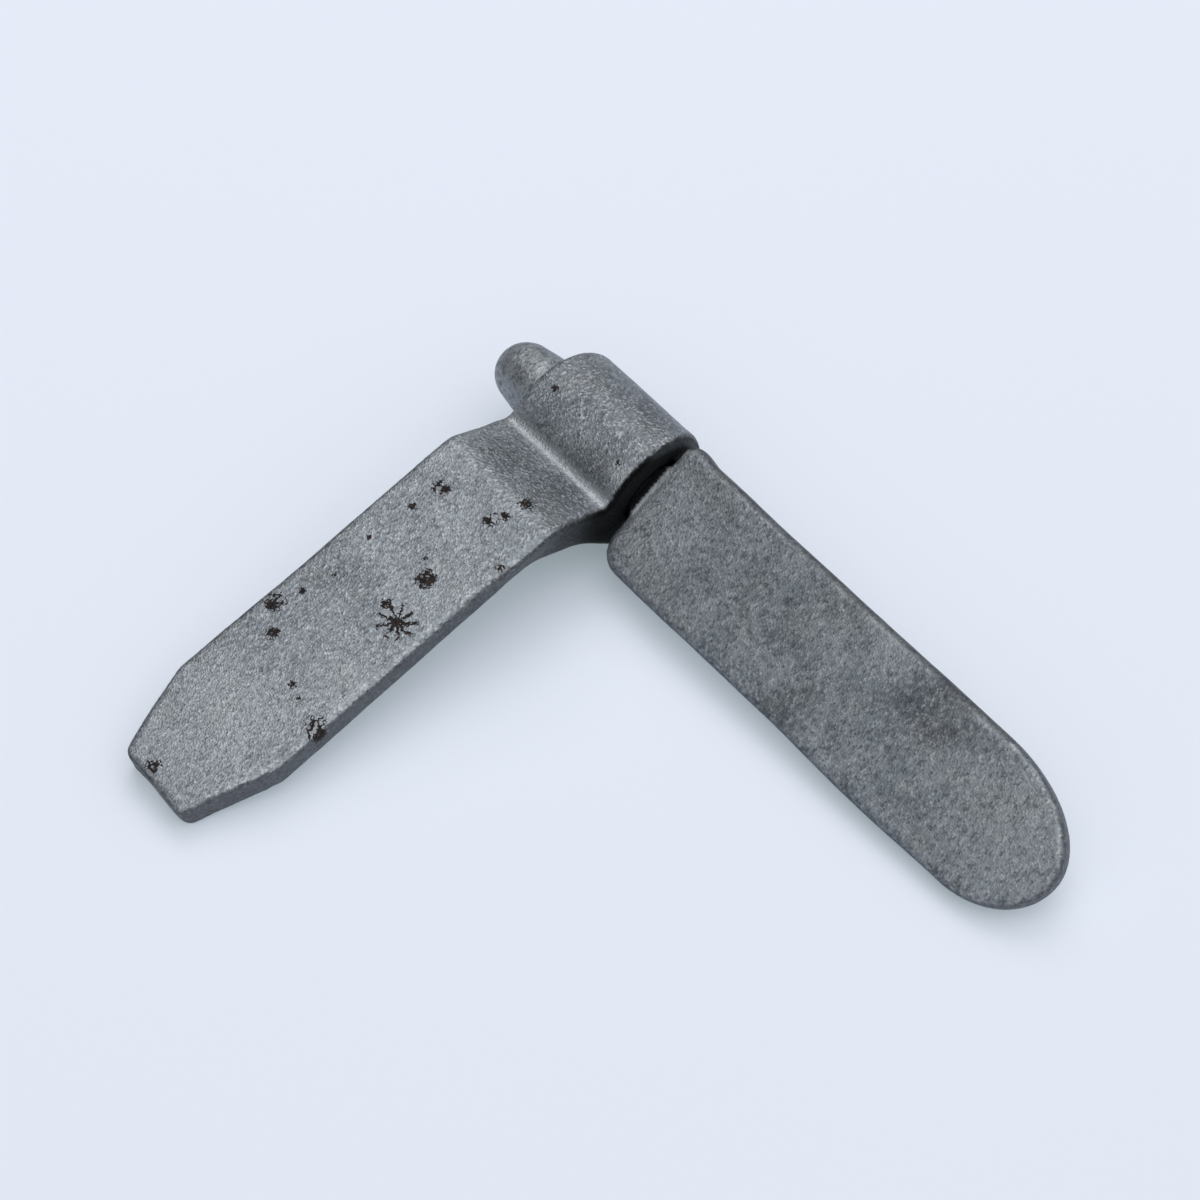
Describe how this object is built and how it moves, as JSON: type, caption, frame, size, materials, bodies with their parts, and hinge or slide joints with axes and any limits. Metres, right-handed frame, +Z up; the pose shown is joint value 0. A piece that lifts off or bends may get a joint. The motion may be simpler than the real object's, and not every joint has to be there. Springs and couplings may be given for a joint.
{
  "type": "weld-on barrel hinge",
  "caption": "Two-piece forged weld-on hinge: a flat strap ending in a barrel, and a flat round-tipped leaf whose solid pin turns in it.",
  "frame": {"origin": "on the hinge line, at the middle of the barrel's length", "axes": "+Y along the pin towards the leaf, +X towards the strap's tip, +Z up as the hinge lies on a bench with the barrel and the strap's tip level underneath"},
  "size_m": [0.136, 0.1705, 0.0288],
  "materials": {
    "blasted_forging": "raw forged steel, shot-blasted, dull grey with dark rust blooms",
    "scaled_forging": "raw forged steel with thin dark scale, worn bright at the edges"
  },
  "bodies": {
    "strap_half": {"barrel_strap": "blasted_forging"},
    "leaf_half": {"pin_leaf": "scaled_forging"}
  },
  "joints": [
    {"name": "hinge_turn", "type": "hinge", "parent": "strap_half", "child": "leaf_half", "pos_m": [0, 0, 0], "axis": [0, 1, 0], "continuous": true}
  ]
}
